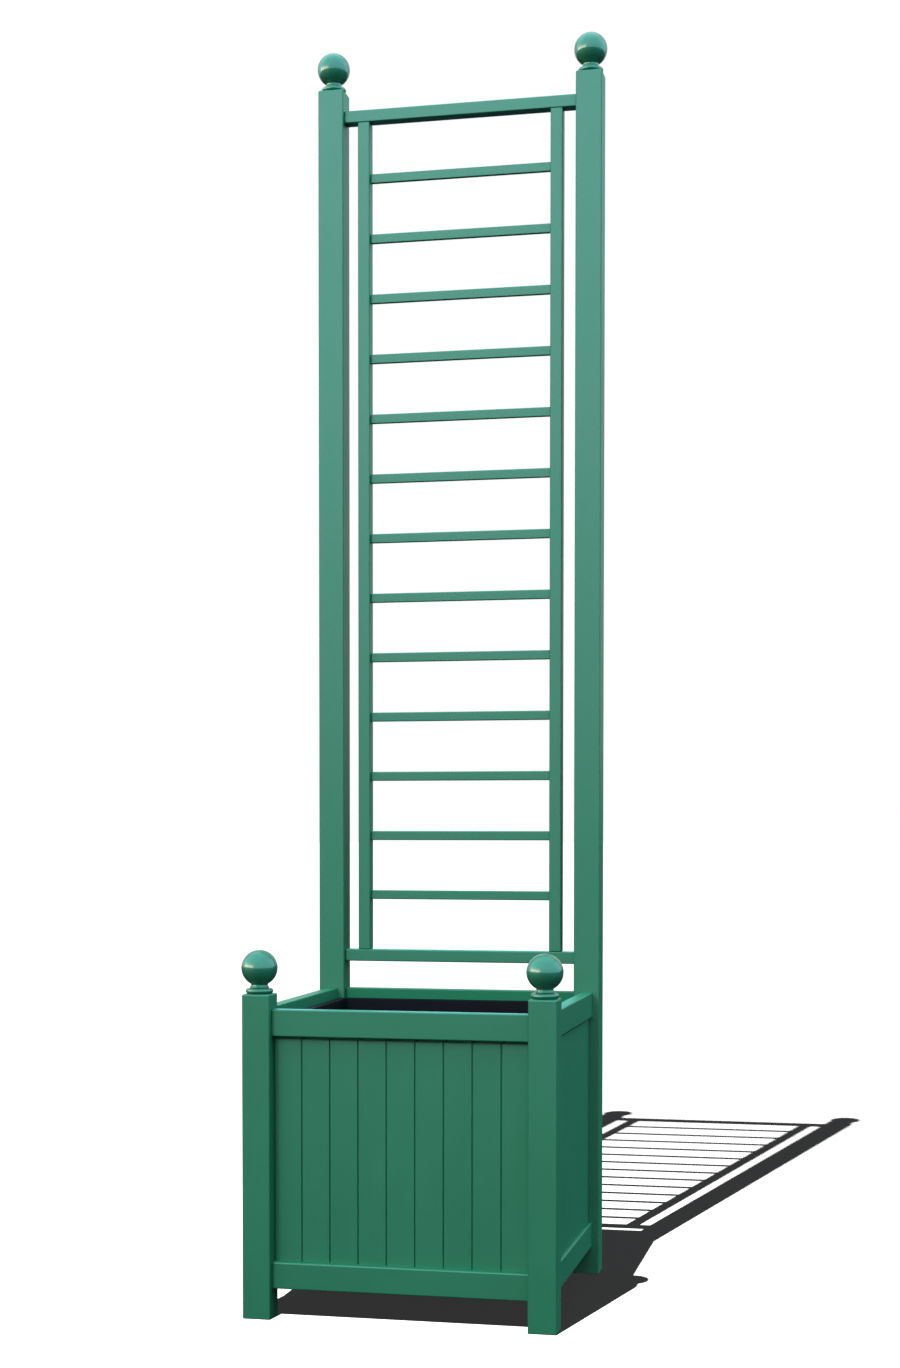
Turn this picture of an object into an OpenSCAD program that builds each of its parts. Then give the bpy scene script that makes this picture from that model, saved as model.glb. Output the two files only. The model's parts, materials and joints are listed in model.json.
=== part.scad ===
// Square panelled garden planter, with a ladder trellis between its two tall rear posts.
// Millimetres, +Z up, front towards -Y. The origin is on the ground under the middle of the box.

/* [Box] */
// Overall width across the posts
box_w = 500; // [440:5:700]
// Overall depth across the posts
box_d = 500; // [440:5:700]
// Height of the front posts without their finials
front_post_h = 512; // [420:1:700]
// Height of the rear posts without their finials
rear_post_h = 2062; // [1500:1:2400]
// Side of the square posts
post_w = 45; // [44:1:60]
// How far the front posts stand above the top rails
post_rise = 24; // [23:1:60]
// Clear height under the bottom rails
leg_h = 47; // [25:1:90]
// Bevel along the edges of posts, rails and stiles
edge = 2; // [1:0.5:3]

/* [Box rails] */
// Height of the box rails
rail_h = 42.5; // [36:0.5:60]
// Thickness of the box rails
rail_t = 21; // [18:1:26]
// Length of the tenons that enter the posts
tenon_l = 16; // [8:1:16]
// Thickness of the tenons that enter the posts
tenon_t = 9; // [6:1:10]
// Shoulder above and below the box rails' tenons
tenon_shoulder = 8; // [8:0.5:12]

/* [Boards] */
// Number of boards in each panel
board_count = 9; // [7:1:12]
// Thickness of the front and rear boards
board_t = 8; // [7:0.5:9]
// Thickness of the boards at the sides, which lie closer to the faces of their rails
side_board_t = 15; // [12:0.5:15.5]
// Depth of the V joint's bevels at the front and rear
vee = 1.6; // [0.8:0.2:2]
// Bevel along the plain joints at the sides
side_bevel = 0.4; // [0.2:0.1:0.8]
// How far the boards are let into the rails
rebate_h = 7; // [4:0.5:7]
// How far the boards are let into the posts
groove_d = 6; // [3:0.5:8]
// Length of a board's tongue
tongue_l = 4; // [2:0.5:6]
// Thickness of a board's tongue
tongue_t = 2.4; // [1.6:0.2:3]

/* [Trellis] */
// How far the trellis stops below the tops of the rear posts
trellis_drop = 36; // [30:1:200]
// Gap between the box and the trellis
trellis_gap = 48; // [20:1:200]
// Width of the stiles and height of the trellis rails
bar_w = 21; // [18:1:30]
// Depth of the stiles and trellis rails
bar_d = 25; // [20:1:32]
// Gap between a rear post and the stile beside it
stile_gap = 24; // [10:1:60]
// Length of the stiles' tenons in the trellis rails
stile_tenon_l = 10; // [6:1:12]
// Number of rungs
rung_count = 13; // [6:1:16]
// Height of a rung
rung_h = 16; // [14:1:22]
// Thickness of a rung
rung_t = 8; // [7:0.5:12]
// Bevel along the edges of the rungs
rung_edge = 1.5; // [0.5:0.5:2]
// Length of the rungs' tenons in the stiles
rung_tenon_l = 8; // [4:1:12]
// Shoulder all round the tenons of the trellis
slim_shoulder = 2; // [1.5:0.5:2.5]

/* [Finials] */
// Diameter of the ball
ball_d = 57; // [40:1:70]
// Height of the ball's middle above the post
ball_rise = 40.5; // [32:0.5:48]
// Diameter of the neck under the ball
neck_d = 26.6; // [20:0.2:30]
// Diameter of the thin ring under the neck
ring_d = 29; // [24:0.5:36]
// Height of the thin ring
ring_h = 2.8; // [1.6:0.2:4]
// Diameter of the rounded collar on the post
collar_d = 43.5; // [36:0.5:44]
// Height of the rounded collar
collar_h = 8.8; // [6:0.2:10]
// Diameter of the dowel screw that holds a finial
dowel_d = 8; // [6:1:10]
// Length of the dowel screw in the finial, and again in the post
dowel_l = 26; // [18:1:28]

/* [Floor] */
// Height of the floor bearers
bearer_h = 21; // [16:1:30]
// Thickness of the floor bearers
bearer_t = 21; // [18:1:30]
// Number of floor slats
slat_count = 5; // [4:1:7]
// Gap between the slats
slat_gap = 14; // [6:1:30]
// Thickness of the slats
slat_t = 12; // [9:1:18]
// Shank diameter of the screws
screw_d = 4; // [3:0.5:5]
// Head diameter of the screws
screw_head_d = 8; // [7:0.5:10]
// Length of the slat screws
slat_screw_l = 30; // [24:1:32]
// Length of the bearer screws
bearer_screw_l = 34; // [28:1:36]
// Distance of a slat's screws from its edges
screw_inset = 16; // [10:1:22]

/* [Liner] */
// How far the rim lies below the top of the box
rim_drop = 17; // [6:1:60]
// Gap between the rim and the nearest rail that it passes when it is lifted
rim_gap = 1.5; // [1:0.5:6]
// Gap between the liner's walls and the posts
liner_gap = 2; // [1:0.5:6]
// Thickness of the liner's walls, floor and rim
liner_wall = 3; // [2:0.5:4]
// Height of the rim's turned-down edge
lip_h = 12; // [6:1:20]
// Outside radius of the liner's corners
liner_r = 14; // [8:1:40]
// Diameter of the drain holes
drain_d = 12; // [6:1:20]
// Distance of the outer drain holes from the middle
drain_reach = 120; // [60:5:140]

/* [Fits] */
// Clearance round a tenon in its mortise
joint_gap = 0.2; // [0.1:0.05:0.3]
// Gap between the faces of neighbouring boards
board_gap = 0.4; // [0.2:0.1:1]
// Clearance round a board's edges and tongues
panel_gap = 0.3; // [0.1:0.05:0.5]
// Clearance round a screw or dowel in its hole
screw_gap = 0.15; // [0.05:0.05:0.3]
// Rest gap under the liner and at the ends of the floor pieces
rest_gap = 0.3; // [0.1:0.1:0.8]

/* [Hidden] */
$fn = 64;
GREEN = [0.19, 0.47, 0.37];
GLOSS_GREEN = [0.16, 0.45, 0.36];
INNER_GREEN = [0.14, 0.36, 0.28];
BLACK = [0.07, 0.08, 0.09];
STEEL = [0.62, 0.63, 0.65];

// Extra length that takes a cut clear of a face
clear = 1;
// Bevel round the top of each post
cap_bevel = edge + 1;

// Faces and middles of the timber
half_w = box_w / 2;
half_d = box_d / 2;
rail_back = (post_w + rail_t) / 2;
inner_w = half_w - rail_back;
inner_d = half_d - rail_back;
post_in_w = half_w - post_w;
post_in_d = half_d - post_w;

// Heights of the box rails
top_rail_top = front_post_h - post_rise;
top_rail_z = top_rail_top - rail_h;
bottom_rail_top = leg_h + rail_h;
tenon_h = rail_h - 2 * tenon_shoulder;

// Boards, let into the rails above and below them
board_z = bottom_rail_top - rebate_h + panel_gap;
board_h = top_rail_z + rebate_h - panel_gap - board_z;

// Trellis
trellis_top = rear_post_h - trellis_drop;
trellis_top_z = trellis_top - bar_w;
trellis_bottom_z = top_rail_top + trellis_gap;
ladder_z = trellis_bottom_z + bar_w;
ladder_h = trellis_top_z - ladder_z;
rung_gap = (ladder_h - rung_count * rung_h) / (rung_count + 1);
trellis_y = half_d - post_w / 2;
stile_out = post_in_w - stile_gap;
stile_in = stile_out - bar_w;
bar_tenon_h = bar_w - 2 * slim_shoulder;
stile_tenon_d = bar_d - 2 * slim_shoulder;
rung_tenon_h = rung_h - 2 * slim_shoulder;
rung_tenon_t = rung_t - 2 * slim_shoulder;

// Floor and liner
bearer_z = leg_h;
slat_z = bearer_z + bearer_h;
slat_top = slat_z + slat_t;
floor_w = 2 * (post_in_w - rest_gap);
slat_w = (floor_w - (slat_count - 1) * slat_gap) / slat_count;
slat_l = 2 * (inner_d - rest_gap);
bearer_y = inner_d - bearer_t / 2;
screw_head_h = (screw_head_d - screw_d) / 2;
liner_z = slat_top + rest_gap;
rim_top = top_rail_top - rim_drop;
liner_w = 2 * (post_in_w - liner_gap);
liner_d = 2 * (post_in_d - liner_gap);
widest_rail = max(rail_t, bar_d);
rim_w = box_w - post_w - widest_rail - 2 * rim_gap;
rim_d = box_d - post_w - widest_rail - 2 * rim_gap;

function numbered(name, count) = [for (i = [1:count]) str(name, i)];

POSTS = ["post_front_left", "post_front_right", "post_rear_left", "post_rear_right"];
FINIALS = ["finial_front_left", "finial_front_right", "finial_rear_left", "finial_rear_right"];
RAILS = ["front_top_rail", "front_bottom_rail", "rear_top_rail", "rear_bottom_rail",
         "left_top_rail", "left_bottom_rail", "right_top_rail", "right_bottom_rail"];
BOARDS = concat(numbered("front_board_", board_count), ["rear_boards", "left_boards", "right_boards"]);
TRELLIS = concat(["trellis_top_rail", "trellis_bottom_rail", "trellis_stile_left", "trellis_stile_right"],
                 numbered("rung_", rung_count));
FLOOR = concat(["bearer_front", "bearer_rear"], numbered("floor_slat_", slat_count),
               ["slat_screws", "bearer_screws"]);

// Outline of a bar, centred, with its four corners cut off
module bevelled_outline(w, h, bevel) {
    x = w / 2;
    y = h / 2;
    polygon([[-x + bevel, -y], [x - bevel, -y], [x, -y + bevel], [x, y - bevel],
             [x - bevel, y], [-x + bevel, y], [-x, y - bevel], [-x, -y + bevel]]);
}

// Bar along X from x = 0, with its section centred on Y and standing on z = 0
module bar_x(length, depth, height, bevel) {
    translate([0, 0, height / 2])
        rotate([90, 0, 90])
            linear_extrude(length)
                bevelled_outline(depth, height, bevel);
}

// Block centred on X and Y, standing on z = 0
module block(w, d, h) {
    translate([-w / 2, -d / 2, 0])
        cube([w, d, h]);
}

// Round hole or rod along Z, standing on z = 0
module rod(d, h) {
    cylinder(d = d, h = h);
}

// Cuts that bevel the top of a post that stands on the middle of its foot
module cap_cuts(h) {
    for (turn = [0:90:270])
        rotate([0, 0, turn])
            translate([post_w / 2 - cap_bevel, 0, h])
                rotate([0, 45, 0])
                    translate([0, -post_w, 0])
                        cube([post_w, 2 * post_w, post_w]);
}

// Mortise and panel groove in the face that a post turns to +X, for the rails and boards on that side
module rail_seats(thick) {
    for (z = [leg_h, top_rail_z])
        translate([post_w / 2 - tenon_l - joint_gap, -tenon_t / 2 - joint_gap, z + tenon_shoulder - joint_gap])
            cube([tenon_l + joint_gap + clear, tenon_t + 2 * joint_gap, tenon_h + 2 * joint_gap]);
    translate([post_w / 2 - groove_d, rail_t / 2 - thick - panel_gap, board_z - panel_gap])
        cube([groove_d + clear, thick + 2 * panel_gap, board_h + 2 * panel_gap]);
}

// Mortises in the +X face of a rear post, for the trellis rails
module trellis_seats() {
    for (z = [trellis_bottom_z, trellis_top_z])
        translate([post_w / 2 - tenon_l - joint_gap, -tenon_t / 2 - joint_gap, z + slim_shoulder - joint_gap])
            cube([tenon_l + joint_gap + clear, tenon_t + 2 * joint_gap, bar_tenon_h + 2 * joint_gap]);
}

// Left post: its rails leave towards +X and +Y, and the trellis towards +X
module post(h, with_trellis) {
    color(GREEN)
        difference() {
            linear_extrude(h)
                bevelled_outline(post_w, post_w, edge);
            cap_cuts(h);
            rail_seats(board_t);
            mirror([1, -1, 0])
                rail_seats(side_board_t);
            if (with_trellis)
                trellis_seats();
            translate([0, 0, h - dowel_l - screw_gap])
                rod(dowel_d + 2 * screw_gap, dowel_l + screw_gap + clear);
        }
}

// The four post places, numbered as in POSTS
module at_post(i) {
    mirror([i % 2, 0, 0])
        mirror([0, i > 1 ? 1 : 0, 0])
            translate([-half_w + post_w / 2, -half_d + post_w / 2, 0])
                children();
}

function post_h(i) = i > 1 ? rear_post_h : front_post_h;

module corner_post(i) {
    at_post(i)
        post(post_h(i), i > 1);
}

// Half of the finial's outline, from its axis outwards
module finial_outline() {
    bead_r = collar_h / 2;
    ring_top = collar_h + ring_h;
    square([collar_d / 2 - bead_r, collar_h]);
    translate([collar_d / 2 - bead_r, bead_r])
        circle(r = bead_r);
    translate([0, collar_h - clear])
        square([ring_d / 2, ring_h + clear]);
    translate([0, ring_top - clear])
        square([neck_d / 2, ball_rise - ring_top]);
    translate([0, ball_rise])
        intersection() {
            circle(d = ball_d);
            translate([0, -ball_d])
                square([ball_d, 2 * ball_d]);
        }
}

module finial(i) {
    color(GLOSS_GREEN)
        at_post(i)
            translate([0, 0, post_h(i)])
                difference() {
                    rotate_extrude()
                        finial_outline();
                    translate([0, 0, -clear])
                        rod(dowel_d + 2 * screw_gap, dowel_l + screw_gap + clear);
                }
}

module finial_dowels() {
    color(STEEL)
        for (i = [0:3])
            at_post(i)
                translate([0, 0, post_h(i) - dowel_l])
                    rod(dowel_d, 2 * dowel_l);
}

// Box rail along X with its tenons, and the rebate for its boards. Its outer face looks to -Y
module box_rail(span, top, thick) {
    difference() {
        union() {
            translate([-span / 2, 0, 0])
                bar_x(span, rail_t, rail_h, edge);
            translate([0, 0, tenon_shoulder])
                block(span + 2 * tenon_l, tenon_t, tenon_h);
        }
        translate([0, rail_t - thick, top ? rebate_h - rail_h : rail_h - rebate_h])
            block(span, rail_t, rail_h);
    }
}

// The four sides of the box: front, rear, left and right
module at_side(side) {
    if (side == 0)
        translate([0, -half_d + post_w / 2, 0])
            children();
    if (side == 1)
        translate([0, half_d - post_w / 2, 0])
            mirror([0, 1, 0])
                children();
    if (side == 2)
        translate([-half_w + post_w / 2, 0, 0])
            rotate([0, 0, -90])
                children();
    if (side == 3)
        translate([half_w - post_w / 2, 0, 0])
            rotate([0, 0, 90])
                children();
}

function side_span(side) = side < 2 ? box_w - 2 * post_w : box_d - 2 * post_w;
function side_thick(side) = side < 2 ? board_t : side_board_t;
function side_vee(side) = side < 2 ? vee : side_bevel;

module side_rail(i) {
    side = floor(i / 2);
    top = i % 2 == 0;
    color(GREEN)
        difference() {
            at_side(side)
                translate([0, 0, top ? top_rail_z : leg_h])
                    box_rail(side_span(side), top, side_thick(side));
            if (side < 2 && !top)
                mirror([0, side, 0])
                    at_bearer_screws()
                        screw_hole(bearer_screw_l);
        }
}

// Outline of board k of a panel, seen from above, its outer face on y = 0
module board_outline(span, k, thick, bevel) {
    pitch = span / board_count;
    first = k == 0;
    last = k == board_count - 1;
    x0 = k * pitch - span / 2 + board_gap / 2;
    x1 = x0 + pitch - board_gap;
    reach = groove_d - panel_gap;
    tongue_y = (thick + bevel - tongue_t) / 2;
    slot_y = tongue_y - panel_gap / 2;
    slot_t = tongue_t + panel_gap;
    left = first
        ? [[x0 - reach, thick], [x0 - reach, 0]]
        : [[x0, thick], [x0, slot_y + slot_t], [x0 + tongue_l, slot_y + slot_t],
           [x0 + tongue_l, slot_y], [x0, slot_y], [x0, bevel], [x0 + bevel, 0]];
    right = last
        ? [[x1 + reach, 0], [x1 + reach, thick]]
        : [[x1 - bevel, 0], [x1, bevel], [x1, tongue_y], [x1 + tongue_l, tongue_y],
           [x1 + tongue_l, tongue_y + tongue_t], [x1, tongue_y + tongue_t], [x1, thick]];
    polygon(concat(left, right));
}

module board(side, k) {
    color(GREEN)
        at_side(side)
            translate([0, rail_t / 2 - side_thick(side), board_z])
                linear_extrude(board_h)
                    board_outline(side_span(side), k, side_thick(side), side_vee(side));
}

module panel(side) {
    for (k = [0:board_count - 1])
        board(side, k);
}

// Trellis rail with its tenons and the two mortises that its stiles enter
module trellis_rail(top) {
    span = 2 * post_in_w;
    seat_z = top ? -clear : bar_w - stile_tenon_l - joint_gap;
    seat_h = stile_tenon_l + joint_gap + clear;
    color(GREEN)
        translate([0, trellis_y, top ? trellis_top_z : trellis_bottom_z])
            difference() {
                union() {
                    translate([-span / 2, 0, 0])
                        bar_x(span, bar_d, bar_w, edge);
                    translate([0, 0, slim_shoulder])
                        block(span + 2 * tenon_l, tenon_t, bar_tenon_h);
                }
                for (x = [-1, 1])
                    translate([x * (stile_in + bar_w / 2), 0, seat_z])
                        block(bar_tenon_h + 2 * joint_gap, stile_tenon_d + 2 * joint_gap, seat_h);
            }
}

// Height of the underside of rung i, counted from the top
function rung_z(i) = trellis_top_z - (i + 1) * (rung_gap + rung_h);

// Stile on the left, with a tenon at each end and a mortise for each rung
module left_stile() {
    color(GREEN)
        difference() {
            translate([-stile_in - bar_w / 2, trellis_y, 0])
                union() {
                    translate([0, 0, ladder_z])
                        linear_extrude(ladder_h)
                            bevelled_outline(bar_w, bar_d, edge);
                    translate([0, 0, ladder_z - stile_tenon_l])
                        block(bar_tenon_h, stile_tenon_d, ladder_h + 2 * stile_tenon_l);
                }
            for (i = [0:rung_count - 1])
                translate([-stile_in, trellis_y, rung_z(i) + slim_shoulder - joint_gap])
                    block(2 * (rung_tenon_l + joint_gap), rung_tenon_t + 2 * joint_gap,
                          rung_tenon_h + 2 * joint_gap);
        }
}

module right_stile() {
    mirror([1, 0, 0])
        left_stile();
}

module rung(i) {
    color(GREEN)
        translate([0, trellis_y, rung_z(i)])
            union() {
                translate([-stile_in, 0, 0])
                    bar_x(2 * stile_in, rung_t, rung_h, rung_edge);
                translate([0, 0, slim_shoulder])
                    block(2 * (stile_in + rung_tenon_l), rung_tenon_t, rung_tenon_h);
            }
}

// Countersunk screw with its head's top on z = 0 and its tip down
module screw(length) {
    translate([0, 0, -screw_head_h])
        cylinder(d1 = screw_d, d2 = screw_head_d, h = screw_head_h);
    translate([0, 0, -length])
        rod(screw_d, length - screw_head_h);
}

// Hole for that screw, with its countersink
module screw_hole(length) {
    translate([0, 0, -screw_head_h])
        cylinder(d1 = screw_d + 2 * screw_gap, d2 = screw_head_d + 2 * screw_gap, h = screw_head_h);
    translate([0, 0, -length - screw_gap])
        rod(screw_d + 2 * screw_gap, length + screw_gap);
    rod(screw_head_d + 2 * screw_gap, clear);
}

// Middle of slat k across the box
function slat_x(k) = (k - (slat_count - 1) / 2) * (slat_w + slat_gap);

module at_slat_screws(k) {
    for (x = [-1, 1], y = [-1, 1])
        translate([slat_x(k) + x * (slat_w / 2 - screw_inset), y * bearer_y, slat_top])
            children();
}

// Screw places on the inner face of the front bearer, one under each gap between the slats
module at_bearer_screws() {
    for (k = [1:slat_count - 1])
        translate([(slat_x(k - 1) + slat_x(k)) / 2, -inner_d + bearer_t, bearer_z + bearer_h / 2])
            rotate([-90, 0, 0])
                children();
}

module bearer_front() {
    color(INNER_GREEN)
        difference() {
            translate([0, -bearer_y, bearer_z])
                block(floor_w, bearer_t, bearer_h);
            for (k = [0:slat_count - 1])
                at_slat_screws(k)
                    screw_hole(slat_screw_l);
            at_bearer_screws()
                screw_hole(bearer_screw_l);
        }
}

module bearer_rear() {
    mirror([0, 1, 0])
        bearer_front();
}

module floor_slat(k) {
    color(INNER_GREEN)
        difference() {
            translate([slat_x(k), 0, slat_z])
                block(slat_w, slat_l, slat_t);
            at_slat_screws(k)
                screw_hole(slat_screw_l);
        }
}

module slat_screws() {
    color(STEEL)
        for (k = [0:slat_count - 1])
            at_slat_screws(k)
                screw(slat_screw_l);
}

module bearer_screws() {
    color(STEEL)
        for (m = [0, 1])
            mirror([0, m, 0])
                at_bearer_screws()
                    screw(bearer_screw_l);
}

// Square with round corners, centred
module rounded_square(w, d, r) {
    square([w - 2 * r, d], center = true);
    square([w, d - 2 * r], center = true);
    for (x = [-1, 1], y = [-1, 1])
        translate([x * (w / 2 - r), y * (d / 2 - r)])
            circle(r = r);
}

// The rim reaches under the rails between the posts and is cut away at the corners
module rim_outline(inset) {
    square([rim_w - 2 * inset, liner_d - 2 * inset], center = true);
    square([liner_w - 2 * inset, rim_d - 2 * inset], center = true);
}

module liner() {
    wall_r = liner_r - liner_wall;
    color(BLACK)
        difference() {
            union() {
                translate([0, 0, liner_z])
                    linear_extrude(rim_top - liner_z)
                        rounded_square(liner_w, liner_d, liner_r);
                translate([0, 0, rim_top - lip_h])
                    linear_extrude(lip_h)
                        rim_outline(0);
            }
            translate([0, 0, liner_z + liner_wall])
                linear_extrude(rim_top)
                    rounded_square(liner_w - 2 * liner_wall, liner_d - 2 * liner_wall, wall_r);
            translate([0, 0, rim_top - lip_h - clear])
                linear_extrude(lip_h + clear - liner_wall)
                    difference() {
                        rim_outline(liner_wall);
                        rounded_square(liner_w, liner_d, liner_r);
                    }
            translate([0, 0, liner_z - clear])
                rod(drain_d, liner_wall + 2 * clear);
            for (x = [-1, 1], y = [-1, 1])
                translate([x * drain_reach, y * drain_reach, liner_z - clear])
                    rod(drain_d, liner_wall + 2 * clear);
        }
}

for (i = [0:3]) corner_post(i);
for (i = [0:3]) finial(i);
finial_dowels();
for (i = [0:7]) side_rail(i);
for (k = [1:board_count]) board(0, k - 1);
panel(1);  // rear_boards
panel(2);  // left_boards
panel(3);  // right_boards
trellis_rail(true);  // trellis_top_rail
trellis_rail(false);  // trellis_bottom_rail
left_stile();  // trellis_stile_left
right_stile();  // trellis_stile_right
for (i = [1:rung_count]) rung(i - 1);
bearer_front();
bearer_rear();
for (k = [1:slat_count]) floor_slat(k - 1);
slat_screws();
bearer_screws();
liner();
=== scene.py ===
"""Painted garden planter with a ladder trellis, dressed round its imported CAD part.

The frame is the part's own: metres, +Z up, the front towards -Y and the origin on the
ground under the middle of the box. Sizes in the classes are millimetres, and a piece is
scaled to metres when its mesh is made. Every piece is a section carried along a line, a
profile turned about an axis or rings laid one above the other, so its vertices are whole
numpy arrays.
"""

import json
import logging
import math
from dataclasses import dataclass, field
from enum import Enum
from typing import Any

import bpy
import numpy as np
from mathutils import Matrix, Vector, geometry

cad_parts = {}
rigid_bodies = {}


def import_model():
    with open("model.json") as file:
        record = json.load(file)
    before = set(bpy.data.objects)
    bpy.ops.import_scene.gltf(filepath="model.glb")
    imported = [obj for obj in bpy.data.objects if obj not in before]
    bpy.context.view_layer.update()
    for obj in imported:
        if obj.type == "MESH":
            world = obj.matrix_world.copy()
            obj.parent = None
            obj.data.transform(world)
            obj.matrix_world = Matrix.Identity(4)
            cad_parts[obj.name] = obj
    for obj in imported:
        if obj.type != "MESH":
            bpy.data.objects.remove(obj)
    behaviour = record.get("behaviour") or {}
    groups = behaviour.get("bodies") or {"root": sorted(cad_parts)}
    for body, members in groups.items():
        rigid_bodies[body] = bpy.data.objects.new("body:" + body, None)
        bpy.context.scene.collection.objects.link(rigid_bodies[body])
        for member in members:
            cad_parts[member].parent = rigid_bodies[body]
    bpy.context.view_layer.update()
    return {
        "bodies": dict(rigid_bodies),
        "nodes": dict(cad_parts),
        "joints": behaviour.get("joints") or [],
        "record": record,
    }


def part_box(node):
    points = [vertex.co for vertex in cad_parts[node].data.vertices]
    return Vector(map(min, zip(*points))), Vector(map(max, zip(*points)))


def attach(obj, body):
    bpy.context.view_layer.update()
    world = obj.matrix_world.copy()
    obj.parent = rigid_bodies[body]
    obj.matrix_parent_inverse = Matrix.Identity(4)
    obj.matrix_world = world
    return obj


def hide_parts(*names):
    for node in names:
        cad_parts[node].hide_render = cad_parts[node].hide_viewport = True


LOG = logging.getLogger("planter")

MM = 0.001
SHARP_ANGLE = math.radians(38)
# Sockets of the Mix node when it mixes colours
FACTOR_IN, COLOUR_A_IN, COLOUR_B_IN, COLOUR_OUT = 0, 6, 7, 2
# Where most of a noise texture's values lie
NOISE_LOW, NOISE_HIGH = 0.3, 0.7
# Steps in a rounded corner and in the rounding of a bar's end
CORNER_STEPS, END_STEPS = 5, 4
# Least radius in millimetres that an inset leaves
LEAST_RADIUS = 0.25
# Corners of a square, and (cos, sin) of the quarter turns, both counter-clockwise
SQUARE = np.array([[1, 1], [-1, 1], [-1, -1], [1, -1]], float)
QUARTER_TURNS = ((1, 0), (0, 1), (-1, 0), (0, -1))
# What the sheet filler gives back, and the distance in millimetres within which it joins points
INSIDE_WITH_HOLES, MERGE_WITHIN = 2, 1e-6
CORNER_PLACES = ("front_left", "front_right", "rear_left", "rear_right")
# From the middle of the box to the middle of its rails, and the height of the rails' rebates
RAIL_REACH, REBATE_H = 227.5, 7.0


# ---------------------------------------------------------------- directions


class Axis(Enum):
    """The direction a bar runs in, which is also the direction of its grain."""

    X = 0
    Y = 1
    Z = 2

    def lay(self, rings: np.ndarray) -> np.ndarray:
        """Turn points (along, u, v) into (x, y, z), by cycling the last axis."""
        return np.roll(rings, self.value, axis=-1)


class Side(Enum):
    """The four sides of the box, as quarter turns from the front."""

    FRONT = 0
    RIGHT = 1
    REAR = 2
    LEFT = 3

    @property
    def grain(self) -> Axis:
        """Axis that this side's rails and their grain run along."""
        return Axis.X if self.value % 2 == 0 else Axis.Y

    @property
    def board_thickness(self) -> float:
        """Thickness of this side's boards: thin at the front and rear, stout at the sides."""
        return 8.0 if self.value % 2 == 0 else 15.0

    def place(self, points: np.ndarray, reach: float) -> np.ndarray:
        """Move points from a side's own frame to the part's frame.

        The side's own frame is (along, depth, height), with depth 0 on the middle of the
        rails and growing into the box. A point moves out by reach and then turns about Z:
        (x, y) becomes (x cos a - y sin a, x sin a + y cos a), where a is a quarter turn
        times the side's number.

        Args:
            points: array (..., 3) in the side's own frame.
            reach: distance from the middle of the box to the middle of the rails.

        Returns:
            Array of the same shape in the part's frame.
        """
        cos, sin = QUARTER_TURNS[self.value]
        turn = np.array([[cos, -sin, 0], [sin, cos, 0], [0, 0, 1]], float)
        return (points - np.array([0.0, reach, 0.0])) @ turn.T


# ------------------------------------------------------------------- surfaces


@dataclass(frozen=True)
class Outline:
    """A closed section, counter-clockwise, whose corners are rounded.

    Attributes:
        corners: array (n, 2) of the sharp corners.
        radii: radius of each corner, 0 where it stays sharp.
        steps: number of steps in each rounded corner.
    """

    corners: np.ndarray
    radii: np.ndarray
    steps: int = CORNER_STEPS

    @classmethod
    def rectangle(
        cls, half_u: float, half_v: float, radius: float, steps: int = CORNER_STEPS
    ) -> "Outline":
        """Rectangle about the origin with four equal corners."""
        return cls(SQUARE * (half_u, half_v), np.full(4, radius), steps)

    def at(self, inset: float = 0.0) -> np.ndarray:
        """Points of the outline after it has been drawn in by an even distance.

        With n1 and n2 the outward normals of the edges before and after a corner, the
        corner moves by -inset (n1 + n2) / (1 + n1.n2). A corner of radius r that turns
        by t becomes an arc of radius r - inset about a point r tan(t / 2) back along the
        first edge and r in from it, and a hollow corner's radius grows instead.

        Args:
            inset: distance by which the outline shrinks.

        Returns:
            Array (m, 2), with the same m for every inset.
        """
        before = self.corners - np.roll(self.corners, 1, 0)
        after = np.roll(self.corners, -1, 0) - self.corners
        before /= np.linalg.norm(before, axis=1, keepdims=True)
        after /= np.linalg.norm(after, axis=1, keepdims=True)
        n1 = np.stack([before[:, 1], -before[:, 0]], 1)
        n2 = np.stack([after[:, 1], -after[:, 0]], 1)
        dot = (n1 * n2).sum(1)
        tip = self.corners - inset * (n1 + n2) / (1 + dot)[:, None]
        turn = np.arctan2(n1[:, 0] * n2[:, 1] - n1[:, 1] * n2[:, 0], dot)
        hand = np.sign(turn)
        kept = np.maximum(self.radii - hand * inset, LEAST_RADIUS)
        radius = np.where(self.radii > 0, kept, 0.0)
        back = radius * np.tan(np.abs(turn) / 2)
        centre = tip - before * back[:, None] - n1 * (hand * radius)[:, None]
        counts = np.where(self.radii > 0, self.steps + 1, 1)
        corner = np.repeat(np.arange(len(counts)), counts)
        first = np.repeat(np.cumsum(counts) - counts, counts)
        phase = (np.arange(len(corner)) - first) / self.steps
        angle = np.arctan2(n1[:, 1], n1[:, 0])[corner] + turn[corner] * phase
        spoke = np.stack([np.cos(angle), np.sin(angle)], 1)
        return centre[corner] + (hand * radius)[corner, None] * spoke


@dataclass(frozen=True)
class Skin:
    """Vertices in millimetres and faces of a closed surface."""

    verts: np.ndarray
    faces: list[list[int]]

    @classmethod
    def joined(cls, skins: list["Skin"]) -> "Skin":
        """Several skins as one.

        Args:
            skins: the skins, in order.

        Returns:
            One skin, in which each skin's vertex numbers follow on from the last one's.
        """
        firsts = np.cumsum([0] + [len(skin.verts) for skin in skins[:-1]])
        faces = [
            (np.array(face) + first).tolist()
            for skin, first in zip(skins, firsts)
            for face in skin.faces
        ]
        return cls(np.concatenate([skin.verts for skin in skins]), faces)


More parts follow.
